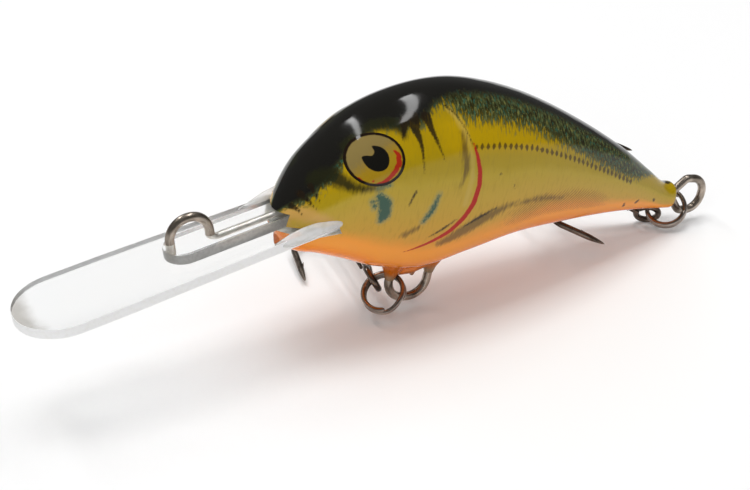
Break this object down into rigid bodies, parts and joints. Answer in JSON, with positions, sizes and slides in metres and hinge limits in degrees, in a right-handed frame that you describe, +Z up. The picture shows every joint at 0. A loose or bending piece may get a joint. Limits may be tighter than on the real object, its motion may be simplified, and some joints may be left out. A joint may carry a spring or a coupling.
{
  "type": "crankbait fishing lure",
  "caption": "Deep-diving crankbait: a painted fish-shaped body with a long clear bill, a bent through-wire, split rings and swinging treble hooks.",
  "frame": {"origin": "under the middle of the whole lure, on the surface that it lies on", "axes": "+X from the bill to the tail, +Z up, +Y to the lure's right-hand side, where the hooks lie"},
  "size_m": [0.0952, 0.0266, 0.0296],
  "materials": {
    "left_body_paint": "clear lacquer over a painted fish pattern on wood",
    "right_body_paint": "clear lacquer over a painted fish pattern on wood",
    "eye_gold": "gold foil under a clear dome",
    "clear_polycarbonate": "clear and polished",
    "hanger_wire_steel": "drawn wire",
    "cast_lead": "as cast",
    "black_nickel_ring": "black nickel plated",
    "black_nickel_hook": "black nickel plated"
  },
  "bodies": {
    "lure_body": {"left_body_half": "left_body_paint", "right_body_half": "right_body_paint", "left_eye": "eye_gold", "right_eye": "eye_gold", "diving_bill": "clear_polycarbonate", "through_wire": "hanger_wire_steel", "keel_ballast": "cast_lead"},
    "belly_ring": {"belly_split_ring": "black_nickel_ring"},
    "belly_treble": {"belly_double_hook": "black_nickel_hook", "belly_single_hook": "black_nickel_hook"},
    "tail_ring": {"tail_split_ring": "black_nickel_ring"},
    "tail_treble": {"tail_double_hook": "black_nickel_hook", "tail_single_hook": "black_nickel_hook"}
  },
  "joints": [
    {"name": "belly_ring_swing", "type": "hinge", "parent": "lure_body", "child": "belly_ring", "pos_m": [-0.00133, -0.0061, 0.00361], "axis": [0.225, 0, -0.9744], "range_deg": [-45, 15]},
    {"name": "belly_hook_swing", "type": "hinge", "parent": "belly_ring", "child": "belly_treble", "pos_m": [-0.00231, -0.00375, 0.00397], "axis": [0.8665, -0.2005, 0.4572], "range_deg": [-100, 5]},
    {"name": "tail_ring_swing", "type": "hinge", "parent": "lure_body", "child": "tail_ring", "pos_m": [0.04272, -0.0061, 0.00283], "axis": [0.515, 0, -0.8572], "range_deg": [0, 45]},
    {"name": "tail_hook_swing", "type": "hinge", "parent": "tail_ring", "child": "tail_treble", "pos_m": [0.03957, -0.0043, 0.00172], "axis": [0.5055, 0.7322, 0.4564], "range_deg": [-100, 0]}
  ]
}
